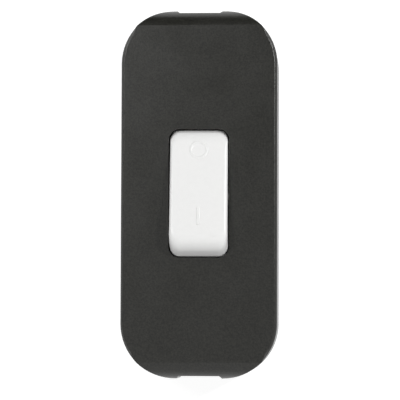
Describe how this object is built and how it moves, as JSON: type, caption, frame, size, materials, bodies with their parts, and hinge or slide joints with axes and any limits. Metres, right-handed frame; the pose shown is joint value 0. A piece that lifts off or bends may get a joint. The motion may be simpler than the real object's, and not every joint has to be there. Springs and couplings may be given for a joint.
{
  "type": "in-line cord switch",
  "caption": "Flat rounded in-line switch for a flexible cord: two-shell black housing, white rocker marked off and on, cord entry and clamp at each end, tilting contacts inside.",
  "frame": {"origin": "centre of the resting face, under the middle of the body", "axes": "+Z up from the resting face, +Y along the cord towards the rocker's off end, +X to the right seen from above with +Y up"},
  "size_m": [0.028, 0.0662, 0.0188],
  "materials": {
    "housing_plastic": "fine spark texture, black",
    "rocker_plastic": "satin, white",
    "plunger_plastic": "natural, slippery",
    "spring_steel": "bright drawn wire",
    "contact_bronze": "stamped strip",
    "contact_silver": "bare silver alloy",
    "terminal_brass": "bare, sawn and pressed",
    "zinc_steel": "zinc plated",
    "clamp_plastic": "plain moulded, black"
  },
  "bodies": {
    "housing": {"top_cover": "housing_plastic", "bottom_case": "housing_plastic", "fixed_contact_left": "contact_silver", "fixed_contact_right": "contact_silver", "pivot_terminal_left": "terminal_brass", "pivot_terminal_right": "terminal_brass", "contact_terminal_left": "terminal_brass", "contact_terminal_right": "terminal_brass", "terminal_screws": "zinc_steel", "cord_clamp_front": "clamp_plastic", "cord_clamp_rear": "clamp_plastic", "clamp_screws": "zinc_steel", "cover_screws": "zinc_steel"},
    "rocker": {"rocker": "rocker_plastic", "plunger_spring": "spring_steel"},
    "plunger": {"plunger": "plunger_plastic"},
    "seesaw_left": {"seesaw_left": "contact_bronze", "moving_contact_left": "contact_silver"},
    "seesaw_right": {"seesaw_right": "contact_bronze", "moving_contact_right": "contact_silver"}
  },
  "joints": [
    {"name": "rocker_pivot", "type": "hinge", "parent": "housing", "child": "rocker", "pos_m": [0, 0, 0.012], "axis": [1, 0, 0], "range_deg": [0, 20]},
    {"name": "plunger_slide", "type": "slide", "parent": "rocker", "child": "plunger", "axis": [0, 0.1736, 0.9848], "range_m": [-0.0002, 0.0005], "stiffness_N_per_m": 300, "deforming": ["plunger_spring"]},
    {"name": "seesaw_left_tilt", "type": "hinge", "parent": "housing", "child": "seesaw_left", "pos_m": [-0.003, 0, 0.00364], "axis": [1, 0, 0], "range_deg": [-16, 0]},
    {"name": "seesaw_right_tilt", "type": "hinge", "parent": "housing", "child": "seesaw_right", "pos_m": [0.003, 0, 0.00364], "axis": [1, 0, 0], "range_deg": [-16, 0]}
  ],
  "couplings": [
    {"joint": "seesaw_left_tilt", "follows": "rocker_pivot", "ratio": -0.8},
    {"joint": "seesaw_right_tilt", "follows": "rocker_pivot", "ratio": -0.8}
  ]
}
